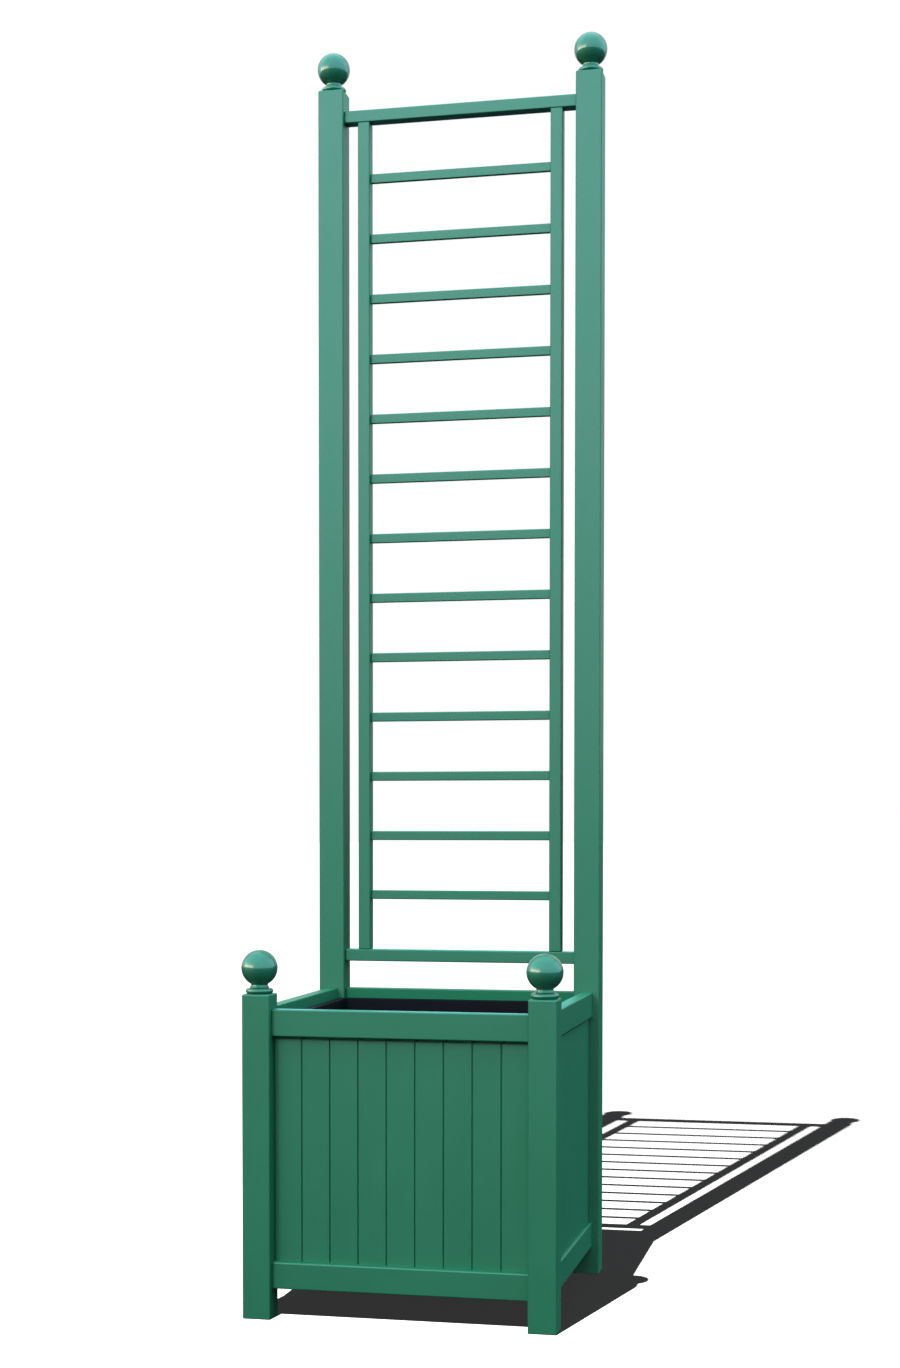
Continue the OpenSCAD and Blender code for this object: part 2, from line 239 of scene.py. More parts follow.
def lattice(rows: int, columns: int) -> np.ndarray:
    """Quads of a grid whose columns close round: (i, j), (i, j+1), (i+1, j+1), (i+1, j).

    Args:
        rows: number of rings.
        columns: number of points in each ring.

    Returns:
        Array (rows - 1 times columns, 4) of vertex numbers.
    """
    i, j = np.meshgrid(np.arange(rows - 1), np.arange(columns), indexing="ij")
    k = (j + 1) % columns
    corners = [i * columns + j, i * columns + k, (i + 1) * columns + k, (i + 1) * columns + j]
    return np.stack(corners, -1).reshape(-1, 4)


def sweep(rings: np.ndarray) -> Skin:
    """Close a skin over rings that follow one another, with a flat face at each end.

    Args:
        rings: array (n, m, 3), each ring counter-clockwise about the direction of travel.

    Returns:
        The closed skin, its faces outwards.
    """
    n, m, _ = rings.shape
    ends = [np.arange(m)[::-1].tolist(), np.arange((n - 1) * m, n * m).tolist()]
    return Skin(rings.reshape(-1, 3), lattice(n, m).tolist() + ends)


def turned(profile: np.ndarray, centre: np.ndarray, segments: int) -> Skin:
    """Turn a profile about a vertical axis.

    Point (r, z) at angle a becomes (r cos a, r sin a, z). The profile's first and last
    points lie on the axis and become the two poles.

    Args:
        profile: array (n, 2) of radius and height, from the bottom up.
        centre: where the axis meets height 0.
        segments: number of steps round.

    Returns:
        The closed skin, its faces outwards.
    """
    angle = np.linspace(0, 2 * np.pi, segments, endpoint=False)
    radius, height = profile[1:-1, :1], profile[1:-1, 1:]
    parts = [radius * np.cos(angle), radius * np.sin(angle), height + 0 * angle]
    rings = np.stack(parts, -1).reshape(-1, 3)
    poles = np.array([[0, 0, profile[0, 1]], [0, 0, profile[-1, 1]]])
    n, count = len(profile) - 2, len(rings)
    here = np.arange(segments)
    there = (here + 1) % segments
    last = (n - 1) * segments
    low = np.stack([there, here, np.full(segments, count)], 1)
    high = np.stack([here + last, there + last, np.full(segments, count + 1)], 1)
    faces = lattice(n, segments).tolist() + low.tolist() + high.tolist()
    return Skin(np.concatenate([rings, poles]) + centre, faces)


def arc(
    centre: tuple[float, float], radius: float, start: float, end: float, steps: int
) -> np.ndarray:
    """Points centre + radius (cos a, sin a), with a from start to end in degrees."""
    angle = np.radians(np.linspace(start, end, steps + 1))
    return np.array(centre) + radius * np.stack([np.cos(angle), np.sin(angle)], 1)


def squared(ring: np.ndarray, half_u: float, half_v: float) -> np.ndarray:
    """Draw a ring in from its centre onto a rectangle.

    A point p becomes p / max(|u| / half_u, |v| / half_v), and the four points nearest to
    the rectangle's corners are moved to them.

    Args:
        ring: array (m, 2) that can be seen whole from its middle.
        half_u: half of the rectangle's first side.
        half_v: half of its second side.

    Returns:
        Array (m, 2) on the rectangle.
    """
    scale = np.maximum(np.abs(ring[:, 0]) / half_u, np.abs(ring[:, 1]) / half_v)
    flat = ring / scale[:, None]
    tips = SQUARE * (half_u, half_v)
    near = np.linalg.norm(flat[None] - tips[:, None], axis=-1).argmin(1)
    flat[near] = tips
    return flat


@dataclass(frozen=True)
class Tenon:
    """Tongue on the end of a bar: its length, and its size across u and v."""

    length: float
    size_u: float
    size_v: float
    chamfer: float = 1.0


def bar_rings(
    section: Outline,
    start: float,
    end: float,
    arris: tuple[float, float],
    tenon: Tenon | None = None,
) -> np.ndarray:
    """Rings (along, u, v) of a bar with rounded ends, and a tenon on each where there is one.

    At angle t from 0 to 90 degrees a rounded end lies r (1 - cos t) in from the shoulder,
    and its section is drawn in by r (1 - sin t).

    Args:
        section: the bar's section.
        start: where the first shoulder stands.
        end: where the second shoulder stands.
        arris: radius of the rounding at the start and at the end.
        tenon: the tongue beyond each shoulder, or None.

    Returns:
        Array (n, m, 3) of rings from the start to the end.
    """
    angle = np.radians(np.linspace(0, 90, END_STEPS + 1))
    ends = []
    for shoulder, out, r in ((start, -1, arris[0]), (end, 1, arris[1])):
        rounded = [
            (shoulder - out * r * (1 - math.cos(t)), section.at(r * (1 - math.sin(t))))
            for t in angle
        ]
        if tenon:
            u, v, c = tenon.size_u / 2, tenon.size_v / 2, tenon.chamfer
            root, tip = squared(section.at(), u, v), squared(section.at(), u - c, v - c)
            far = shoulder + out * tenon.length
            rounded = [(far, tip), (far - out * c, root), (shoulder, root)] + rounded
        ends.append(rounded)
    stations = ends[0] + ends[1][::-1]
    along = np.array([place for place, _ in stations])[:, None, None]
    rings = np.stack([ring for _, ring in stations])
    return np.concatenate([np.broadcast_to(along, rings.shape[:2] + (1,)), rings], -1)


def node_box(node: str) -> tuple[np.ndarray, np.ndarray]:
    """Lowest and highest corner of a CAD node in millimetres."""
    low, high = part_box(node)
    return np.array(low) / MM, np.array(high) / MM


def boxed_bar(
    node: str,
    axis: Axis,
    arris: float,
    ends: tuple[float, float],
    tenon: Tenon | None = None,
    steps: int = CORNER_STEPS,
) -> Skin:
    """Bar that fills the box of its CAD node.

    Args:
        node: the CAD node.
        axis: the direction that the bar runs in.
        arris: radius of its long edges.
        ends: radius of the rounding at its first end and at its second.
        tenon: its tenons, which the box includes, or None.
        steps: number of steps in each rounded edge.

    Returns:
        The closed skin.
    """
    low, high = node_box(node)
    half, middle = (high - low) / 2, (low + high) / 2
    u, v = (axis.value + 1) % 3, (axis.value + 2) % 3
    reach = half[axis.value] - (tenon.length if tenon else 0.0)
    section = Outline.rectangle(half[u], half[v], arris, steps)
    return sweep(axis.lay(bar_rings(section, -reach, reach, ends, tenon)) + middle)


# ------------------------------------------------------------------- finishes


def linear(code: str) -> tuple[float, float, float, float]:
    """Turn an sRGB hex colour into linear light.

    A channel c becomes c / 12.92 up to 0.04045 and ((c + 0.055) / 1.055) ** 2.4 above it.

    Args:
        code: six hex digits after a #.

    Returns:
        Red, green, blue and an alpha of 1.
    """
    coded = [int(code[i : i + 2], 16) / 255 for i in (1, 3, 5)]
    red, green, blue = (c / 12.92 if c <= 0.04045 else ((c + 0.055) / 1.055) ** 2.4 for c in coded)
    return red, green, blue, 1.0


def add(
    tree: bpy.types.NodeTree,
    kind: str,
    inputs: dict[str | int, Any],
    settings: dict[str, Any] | None = None,
) -> bpy.types.Node:
    """Add a node with its settings and links.

    Args:
        tree: the tree that gets the node.
        kind: the node's type name.
        inputs: a value, or an output socket to link, for each input.
        settings: attributes of the node.

    Returns:
        The new node.
    """
    node = tree.nodes.new(kind)
    for name, value in (settings or {}).items():
        setattr(node, name, value)
    for name, value in inputs.items():
        if isinstance(value, bpy.types.NodeSocket):
            tree.links.new(value, node.inputs[name])
        else:
            node.inputs[name].default_value = value
    return node


def surface(name: str, **constants: float) -> tuple[bpy.types.Material, bpy.types.Node]:
    """Start a material.

    Args:
        name: the finish's name.
        constants: values for the shader's own sockets, named with _ for a space.

    Returns:
        The material and its shader node.
    """
    material = bpy.data.materials.new(name)
    material.use_nodes = True
    shader = next(n for n in material.node_tree.nodes if n.type == "BSDF_PRINCIPLED")
    for key, value in constants.items():
        shader.inputs[key.replace("_", " ")].default_value = value
    return material, shader


def dress(shader: bpy.types.Node, **links: bpy.types.NodeSocket) -> None:
    """Link patterns to the shader's sockets, which are named with _ for a space."""
    for key, socket in links.items():
        shader.id_data.links.new(socket, shader.inputs[key.replace("_", " ")])


def patterned(
    tree: bpy.types.NodeTree,
    pitch: tuple[float, float, float],
    detail: float,
    roughness: float = 0.55,
) -> bpy.types.NodeSocket:
    """Noise on Object coordinates with a pitch in millimetres along each axis.

    Args:
        tree: the material's tree.
        pitch: size of the pattern along X, Y and Z.
        detail: number of finer layers.
        roughness: share that each finer layer keeps.

    Returns:
        The noise's factor socket, from 0 to 1 with its middle at 0.5.
    """
    place = add(tree, "ShaderNodeTexCoord", {})
    scale = tuple(1 / (p * MM) for p in pitch)
    fitted = add(tree, "ShaderNodeMapping", {"Vector": place.outputs["Object"], "Scale": scale})
    inputs = {"Vector": fitted.outputs["Vector"], "Scale": 1.0}
    inputs |= {"Detail": detail, "Roughness": roughness}
    return add(tree, "ShaderNodeTexNoise", inputs).outputs["Fac"]


def spread(
    tree: bpy.types.NodeTree, value: bpy.types.NodeSocket, low: float, high: float
) -> bpy.types.NodeSocket:
    """Map most of a noise onto a range, in a straight line.

    Args:
        tree: the material's tree.
        value: the noise.
        low: what NOISE_LOW becomes.
        high: what NOISE_HIGH becomes.

    Returns:
        The mapped value's socket.
    """
    inputs = {"Value": value, "From Min": NOISE_LOW, "From Max": NOISE_HIGH}
    inputs |= {"To Min": low, "To Max": high}
    return add(tree, "ShaderNodeMapRange", inputs).outputs["Result"]


def blended(
    tree: bpy.types.NodeTree,
    pattern: bpy.types.NodeSocket,
    first: Any,
    second: Any,
    share: float = 1.0,
) -> bpy.types.NodeSocket:
    """Mix two colours by a pattern: first (1 - s) + second s, with s from 0 to the share.

    Args:
        tree: the material's tree.
        pattern: the noise that is spread over that range.
        first: a hex code or a socket.
        second: a hex code or a socket.
        share: most that there is of the second colour.

    Returns:
        The mixed colour's socket.
    """
    first, second = (linear(c) if isinstance(c, str) else c for c in (first, second))
    inputs = {FACTOR_IN: spread(tree, pattern, 0.0, share)}
    inputs |= {COLOUR_A_IN: first, COLOUR_B_IN: second}
    return add(tree, "ShaderNodeMix", inputs, {"data_type": "RGBA"}).outputs[COLOUR_OUT]


def relief(
    tree: bpy.types.NodeTree,
    height: bpy.types.NodeSocket,
    depth: float,
    under: bpy.types.NodeSocket | None = None,
) -> bpy.types.NodeSocket:
    """Raise the surface by a pattern.

    Args:
        tree: the material's tree.
        height: the pattern, from 0 to 1.
        depth: its depth in millimetres.
        under: another relief that this one lies on, or None.

    Returns:
        The socket of the surface's new direction.
    """
    inputs: dict[str | int, Any] = {"Height": height, "Strength": 1.0, "Distance": depth * MM}
    if under is not None:
        inputs["Normal"] = under
    return add(tree, "ShaderNodeBump", inputs).outputs["Normal"]


def along_grain(grain: Axis, across: float, length: float) -> tuple[float, float, float]:
    """Pitch of a pattern that is drawn out along the grain.

    Args:
        grain: the direction of the grain.
        across: the pitch across the grain.
        length: the pitch along it.

    Returns:
        The pitch along X, Y and Z.
    """
    pitch = [across, across, across]
    pitch[grain.value] = length
    return pitch[0], pitch[1], pitch[2]


@dataclass(frozen=True)
class SatinPaint:
    """Satin alkyd enamel, sprayed on planed softwood.

    To the eye it is an even mid green with a soft sheen: a fine powdery speck from the
    matting agent, a slow change in tone, and the grain just felt under the film.
    """

    grain: Axis
    tone: str = "#17774E"
    deep: str = "#15724A"
    bright: str = "#1D7F56"
    roughness: float = 0.5
    roughness_drift: float = 0.02
    # The matting agent takes a little from what a bare film would mirror
    gleam: float = 0.45
    film_ior: float = 1.45
    # The matting agent's real speck is under 0.1 mm: drawn at 1.4 mm so that it shows
    speck: float = 1.4
    speck_share: float = 0.5
    speck_depth: float = 0.02
    # Growth rings of slow softwood stand 2 to 3 mm apart and run the length of the piece
    ring_pitch: float = 2.6
    ring_run: float = 160.0
    ring_depth: float = 0.035
    # Slow drift of the film's tone along a piece and across it
    drift: float = 140.0
    drift_across: float = 70.0

    def material(self) -> bpy.types.Material:
        """Build the material for this grain direction.

        Returns:
            The material.
        """
        name = f"satin_green_enamel_grain_{self.grain.name.lower()}"
        made, shader = surface(name, Specular_IOR_Level=self.gleam, IOR=self.film_ior)
        tree = made.node_tree
        speck = patterned(tree, (self.speck,) * 3, 2.0)
        drift = patterned(tree, along_grain(self.grain, self.drift_across, self.drift), 2.0)
        rings = patterned(tree, along_grain(self.grain, self.ring_pitch, self.ring_run), 3.0)
        film = blended(tree, drift, self.deep, self.tone)
        powdered = blended(tree, speck, film, self.bright, self.speck_share)
        smooth, rough = self.roughness - self.roughness_drift, self.roughness + self.roughness_drift
        peel = relief(tree, speck, self.speck_depth, relief(tree, rings, self.ring_depth))
        sheen = spread(tree, drift, smooth, rough)
        dress(shader, Base_Color=powdered, Roughness=sheen, Normal=peel)
        return made


@dataclass(frozen=True)
class GlossPaint:
    """Gloss enamel in several coats over a turned softwood ball.

    To the eye it is a deeper green under a clear, wet skin that mirrors the sky, a little
    wavy where the brushed coats levelled.
    """

    tone: str = "#22704F"
    deep: str = "#1D694A"
    # The coloured coat under the gloss is matt and mirrors little
    roughness: float = 0.5
    gleam: float = 0.2
    # Clear skin of resin at the top of the film
    skin: float = 0.8
    skin_roughness: float = 0.06
    skin_ior: float = 1.5
    # Waves left where brushed gloss levels
    wave: float = 14.0
    wave_depth: float = 0.05

    def material(self) -> bpy.types.Material:
        """Build the material.

        Returns:
            The material.
        """
        made, shader = surface(
            "gloss_green_enamel",
            Roughness=self.roughness,
            Specular_IOR_Level=self.gleam,
            Coat_Weight=self.skin,
            Coat_Roughness=self.skin_roughness,
            Coat_IOR=self.skin_ior,
        )
        tree = made.node_tree
        cloud = patterned(tree, (self.wave,) * 3, 3.0)
        colour = blended(tree, cloud, self.deep, self.tone)
        film = relief(tree, cloud, self.wave_depth)
        dress(shader, Base_Color=colour, Normal=film, Coat_Normal=film)
        return made


@dataclass(frozen=True)
class StainedSoftwood:
    """Planed softwood with one thin coat of green preservative stain, for pieces inside.

    To the eye it is matt and thirsty, with the growth rings showing as darker lines.
    """

    grain: Axis
    light: str = "#3F6B54"
    dark: str = "#274A39"
    roughness: float = 0.72
    # Growth rings 3 to 4 mm apart on flat-sawn faces
    ring_pitch: float = 3.4
    ring_run: float = 120.0
    ring_depth: float = 0.12
    # Wood fibres, much finer in truth, drawn 0.7 mm wide so that they show
    fibre: float = 0.7
    fibre_run: float = 30.0
    fibre_depth: float = 0.06
    fibre_share: float = 0.35

    def material(self) -> bpy.types.Material:
        """Build the material for this grain direction.

        Returns:
            The material.
        """
        name = f"stained_softwood_grain_{self.grain.name.lower()}"
        made, shader = surface(name, Roughness=self.roughness)
        tree = made.node_tree
        rings = patterned(tree, along_grain(self.grain, self.ring_pitch, self.ring_run), 4.0, 0.6)
        fibre = patterned(tree, along_grain(self.grain, self.fibre, self.fibre_run), 2.0)
        wood = blended(tree, rings, self.dark, self.light)
        worn = blended(tree, fibre, wood, self.dark, self.fibre_share)
        felt = relief(tree, fibre, self.fibre_depth, relief(tree, rings, self.ring_depth))
        dress(shader, Base_Color=worn, Normal=felt)
        return made


@dataclass(frozen=True)
class ZincPlatedSteel:
    """Mild steel under bright zinc plating.

    To the eye it is a cool pale metal, faintly clouded as the plating bath leaves it.
    """

    bright: str = "#C3C6C8"
    dull: str = "#A3A7AA"
    # Roughness of the dull and of the bright patches, which are 3 mm across
    smooth: float = 0.26
    rough: float = 0.42
    cloud: float = 3.0

    def material(self) -> bpy.types.Material:
        """Build the material.

        Returns:
            The material.
        """
        made, shader = surface("zinc_plated_steel", Metallic=1.0)
        tree = made.node_tree
        cloud = patterned(tree, (self.cloud,) * 3, 3.0)
        colour = blended(tree, cloud, self.dull, self.bright)
        dress(shader, Base_Color=colour, Roughness=spread(tree, cloud, self.smooth, self.rough))
        return made


@dataclass(frozen=True)
class MouldedPolypropylene:
    """Black polypropylene, moulded against a spark-eroded tool.

    To the eye it is a soft near-black with a dull satin shine and a tight leathery grit.
    """

    tone: str = "#08080A"
    pale: str = "#0C0C0E"
    # Roughness of the smooth and of the rough patches along the flow
    smooth: float = 0.58
    rough: float = 0.66
    # The spark grit breaks up most of the mirror
    gleam: float = 0.07
    ior: float = 1.49
    # Spark grit of 0.3 mm, drawn at 0.9 mm so that it shows
    grit: float = 0.9
    grit_depth: float = 0.05
    # Slow flow marks, drawn out along the pull of the mould
    flow: tuple[float, float, float] = (60.0, 60.0, 160.0)

    def material(self) -> bpy.types.Material:
        """Build the material.

        Returns:
            The material.
        """
        name = "black_moulded_polypropylene"
        made, shader = surface(name, IOR=self.ior, Specular_IOR_Level=self.gleam)
        tree = made.node_tree
        grit = patterned(tree, (self.grit,) * 3, 2.0)
        flow = patterned(tree, self.flow, 2.0)
        colour = blended(tree, flow, self.tone, self.pale)
        sheen = spread(tree, flow, self.smooth, self.rough)
        leather = relief(tree, grit, self.grit_depth)
        dress(shader, Base_Color=colour, Roughness=sheen, Normal=leather)
        return made


@dataclass
class Finishes:
    """Each finish of the planter, built once and shared by its pieces."""

    satin: dict[Axis, bpy.types.Material] = field(default_factory=dict)
    stained: dict[Axis, bpy.types.Material] = field(default_factory=dict)
    gloss: bpy.types.Material | None = None
    steel: bpy.types.Material | None = None
    plastic: bpy.types.Material | None = None

    def build(self) -> "Finishes":
        """Make every material.

        Returns:
            These finishes.
        """
        self.satin = {axis: SatinPaint(axis).material() for axis in Axis}
        self.stained = {axis: StainedSoftwood(axis).material() for axis in (Axis.X, Axis.Y)}
        self.gloss = GlossPaint().material()
        self.steel = ZincPlatedSteel().material()
        self.plastic = MouldedPolypropylene().material()
        return self


# --------------------------------------------------------------------- pieces


class Slot(Enum):
    """The record's material slots."""

    TIMBER = "painted_timber"
    FINIAL = "gloss_finial"
    INNER = "inner_timber"
    SCREW = "steel_screw"
    LINER = "black_liner"


def stand(name: str, data: bpy.types.ID) -> bpy.types.Object:
    """Put a mesh, a lamp or the camera into the scene.

    Args:
        name: the new object's name.
        data: the mesh, the lamp's light or the camera's data.

    Returns:
        The new object, at the origin.
    """
    made = bpy.data.objects.new(name, data)
    bpy.context.scene.collection.objects.link(made)
    return made


def make_piece(
    name: str,
    skin: Skin,
    finish: bpy.types.Material,
    nodes: list[str],
    body: str = "frame",
    flat_faces: bool = True,
) -> None:
    """Put a skin into the scene as a finished piece.

    Args:
        name: the piece's name.
        skin: its surface in millimetres.
        finish: its material.
        nodes: the CAD nodes that it stands for.
        body: the CAD body that it rides on.
        flat_faces: whether wide flat faces keep their own normals beside the roundings.
    """
    mesh = bpy.data.meshes.new(name)
    mesh.from_pydata((skin.verts * MM).tolist(), [], skin.faces)
    mesh.validate()
    mesh.polygons.foreach_set("use_smooth", np.ones(len(mesh.polygons), bool))
    mesh.set_sharp_from_angle(angle=SHARP_ANGLE)
    mesh.update()
    mesh.materials.append(finish)
    made = stand(name, mesh)
    if flat_faces:
        even = made.modifiers.new("even_normals", "WEIGHTED_NORMAL")
        even.keep_sharp = True
    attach(made, body)
    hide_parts(*nodes)
    LOG.info("%s: %d vertices on %s", name, len(mesh.vertices), body)


@dataclass
class CornerPosts:
    """Four square posts, two short ones at the front and two tall ones behind."""

    finishes: Finishes
    arris: float = 2.2
    cap_round: float = 3.0
    foot_round: float = 1.2

    def build(self) -> None:
        """Make the four posts."""
        finish, ends = self.finishes.satin[Axis.Z], (self.foot_round, self.cap_round)
        for place in CORNER_PLACES:
            node = f"post_{place}"
            skin = boxed_bar(node, Axis.Z, self.arris, ends)
            make_piece(f"painted_{node}", skin, finish, [node])


@dataclass
class Finials:
    """Turned ball finials: collar, thin ring, cove and ball."""

    finishes: Finishes
    ball_r: float = 28.47
    ball_rise: float = 40.5
    collar_r: float = 21.75
    collar_h: float = 8.8
    ring_r: float = 15.0
    ring_h: float = 2.8
    cove_r: float = 13.3
    cove_rise: float = 13.6
    # Height of the cove above its waist, and how it flares down to the ring
    throat_h: float = 1.9
    cove_flare: float = 0.16
    # Start, end (degrees) and steps of the arcs of the collar and the ring
    collar_arc: tuple[float, float, int] = (-90, 82, 20)
    ring_arc: tuple[float, float, int] = (-70, 80, 12)
    ball_steps: int = 72
    cove_steps: int = 8
    # Clearance of the cove from the ring and from the ball
    cove_ends: tuple[float, float] = (0.15, 0.25)
    segments: int = 96

    def profile(self) -> np.ndarray:
        """Radius and height from the post's top to the crown of the ball.

        The collar is a half circle, the ring a smaller one, the cove the curve
        r = cove_r + k (z - cove_rise)^2 that runs from the ring into the ball, and the
        ball an arc about ball_rise. Below the waist k is the flare, and above it k brings
        the curve to the ball's edge.

        Returns:
            Array (n, 2), from the bottom up.
        """
        bead, lip = self.collar_h / 2, self.ring_h / 2
        collar = arc((self.collar_r - bead, bead), bead, *self.collar_arc)
        ring = arc((self.ring_r - lip, self.collar_h + lip), lip, *self.ring_arc)
        drop = self.ball_rise - self.cove_rise - self.throat_h
        ball_start = math.degrees(math.asin(-drop / self.ball_r))
        ball = arc((0.0, self.ball_rise), self.ball_r, ball_start, 90, self.ball_steps)
        low, high = self.collar_h + self.ring_h + self.cove_ends[0], ball[0, 1] - self.cove_ends[1]
        height = np.linspace(low, high, self.cove_steps)
        swell = (ball[0, 0] - self.cove_r) / self.throat_h**2
        flare = np.where(height < self.cove_rise, self.cove_flare, swell)
        cove = np.stack([self.cove_r + flare * (height - self.cove_rise) ** 2, height], 1)
        ball[-1, 0] = 0.0
        return np.concatenate([np.zeros((1, 2)), collar, ring, cove, ball])

    def build(self) -> None:
        """Make the four finials, each on its own post."""
        profile, finish = self.profile(), self.finishes.gloss
        for place in CORNER_PLACES:
            node = f"finial_{place}"
            low, high = node_box(node)
            foot = np.array([(low[0] + high[0]) / 2, (low[1] + high[1]) / 2, low[2]])
            skin = turned(profile, foot, self.segments)
            make_piece(f"gloss_{node}", skin, finish, [node], flat_faces=False)


@dataclass
class BoxRails:
    """Top and bottom rails of the four sides, rebated at the back for their boards."""

    finishes: Finishes
    reach: float = RAIL_REACH
    arris: float = 2.0
    # Rounding of a bottom rail's upper front edge, which sheds the rain
    sill_arris: float = 3.0
    shoulder_round: float = 1.7
    tenon: Tenon = Tenon(16.0, 9.0, 26.5)
    rebate_h: float = REBATE_H
    rebate_round: float = 0.5

    def section(self, half_t: float, half_h: float, top: bool, rebate: float) -> Outline:
        """Section (depth, height) with the notch that takes the boards.

        Args:
            half_t: half of the rail's thickness.
            half_h: half of its height.
            top: whether the notch is in the underside.
            rebate: depth of the notch from the inner face.

        Returns:
            Outline of six corners, counter-clockwise.
        """
        t, h, r, eased = half_t, half_h, self.arris, self.rebate_round
        inner, ledge = t - rebate, self.rebate_h - h
        points = np.array([(t, h), (-t, h), (-t, -h), (inner, -h), (inner, ledge), (t, ledge)])
        radii = np.array([r, r, r if top else self.sill_arris, eased, 0.0, eased])
        if not top:
            points, radii = points[::-1] * (1.0, -1.0), radii[::-1]
        return Outline(points, radii)

    def build(self) -> None:
        """Make the eight rails."""
        ends = (self.shoulder_round, self.shoulder_round)
        for side in Side:
            for level in ("top", "bottom"):
                node = f"{side.name.lower()}_{level}_rail"
                low, high = node_box(node)
                long = side.grain.value
                half = (high - low)[long] / 2 - self.tenon.length
                thick, tall = (high - low)[1 - long] / 2, (high - low)[2] / 2
                section = self.section(thick, tall, level == "top", side.board_thickness)
                rings = bar_rings(section, -half, half, ends, self.tenon)
                rings[..., 2] += (low[2] + high[2]) / 2
                skin = sweep(side.place(rings, self.reach))
                finish = self.finishes.satin[side.grain]
                make_piece(f"painted_{node}", skin, finish, [node])


@dataclass
class BoardPanels:
    """Tongued and grooved boards, nine to a side, with open joints at the front and rear."""

    finishes: Finishes
    reach: float = RAIL_REACH
    rail_half_t: float = 10.5
    rebate_h: float = REBATE_H
    span: float = 410.0
    count: int = 9
    # Bevel, its rounding and the gap of an open joint, and of a plain one filled by paint
    open_joint: tuple[float, float, float] = (0.6, 0.4, 1.7)
    plain_joint: tuple[float, float, float] = (0.15, 0.05, 0.05)
    tongue_l: float = 4.0
    tongue_t: float = 2.4
    slot_ease: float = 0.3
    edge_reach: float = 5.7
    edge_round: float = 0.4
    end_round: float = 0.2
    round_steps: int = 3
    # Dark gap beside the posts, under the top rail, how far it goes in and the slope of its foot
    edge_gap: float = 3.0
    head_gap: float = 4.0
    gap_depth: float = 5.0
    gap_slope: float = 0.3

    def section(self, side: Side, k: int) -> Outline:
        """Section (along, depth) of board k, seen from above.

        Args:
            side: the side of the box that it closes.
            k: number of the board, from 0.

        Returns:
            Outline with a groove on the left and a tongue on the right, except at the
            ends of the panel, where the board runs on into the post.
        """
        v, ease, gap = self.open_joint if side.grain is Axis.X else self.plain_joint
        pitch = self.span / self.count
        x0 = k * pitch - self.span / 2 + gap / 2
        x1 = x0 + pitch - gap
        t, d = side.board_thickness, self.gap_depth
        y = (t + v - self.tongue_t) / 2
        s0, s1 = y - self.slot_ease / 2, y + self.tongue_t + self.slot_ease / 2
        if k == 0:
            end, open_x = x0 - self.edge_reach, x0 - gap / 2 + self.edge_gap
            left = [(end, t), (end, d), (open_x, d), (open_x, 0)]
            left_r = [0.0] * 3 + [self.edge_round]
        else:
            left = [(x0, t), (x0, s1), (x0 + self.tongue_l, s1), (x0 + self.tongue_l, s0), (x0, s0)]
            left += [(x0, v), (x0 + v, 0)]
            left_r = [0.0] * 6 + [ease]
        if k == self.count - 1:
            end, open_x = x1 + self.edge_reach, x1 + gap / 2 - self.edge_gap
            right = [(open_x, 0), (open_x, d), (end, d), (end, t)]
            right_r = [self.edge_round] + [0.0] * 3
        else:
            right = [(x1 - v, 0), (x1, v), (x1, y), (x1 + self.tongue_l, y)]
            right += [(x1 + self.tongue_l, y + self.tongue_t), (x1, y + self.tongue_t), (x1, t)]
            right_r = [ease] + [0.0] * 6
        points = np.array(left + right, float) + (0.0, self.rail_half_t - t)
        return Outline(points, np.array(left_r + right_r), self.round_steps)

    def board(self, side: Side, k: int, low: float, high: float) -> Skin:
        """Board k of a side, standing from low to high, with its head set back under the rail.

        Args:
            side: the side of the box.
            k: number of the board.
            low: height of its foot.
            high: height of its head, which the rail's rebate hides.

        Returns:
            The closed skin. Above the gap, a point's depth is max(depth, face + gap_depth).
        """
        rings = bar_rings(self.section(side, k), low, high, (self.end_round, self.end_round))
        foot = len(rings) // 2
        gap_z = high - self.rebate_h - self.head_gap
        steps = np.repeat(rings[foot - 1 : foot], 2, axis=0)
        steps[..., 0] = [[gap_z], [gap_z + self.gap_slope]]
        rings = np.concatenate([rings[:foot], steps, rings[foot:]])
        set_back = self.rail_half_t - side.board_thickness + self.gap_depth
        rings[foot + 1 :, :, 2] = np.maximum(rings[foot + 1 :, :, 2], set_back)
        return sweep(side.place(Axis.Z.lay(rings), self.reach))

    def build(self) -> None:
        """Make the front's nine boards, and one panel for each other side."""
        low, high = (corner[2] for corner in node_box("front_board_1"))
        finish = self.finishes.satin[Axis.Z]
        for k in range(self.count):
            node = f"front_board_{k + 1}"
            skin = self.board(Side.FRONT, k, low, high)
            make_piece(f"painted_{node}", skin, finish, [node])
        for side in (Side.REAR, Side.LEFT, Side.RIGHT):
            node = f"{side.name.lower()}_boards"
            skin = Skin.joined([self.board(side, k, low, high) for k in range(self.count)])
            make_piece(f"painted_{node}", skin, finish, [node])


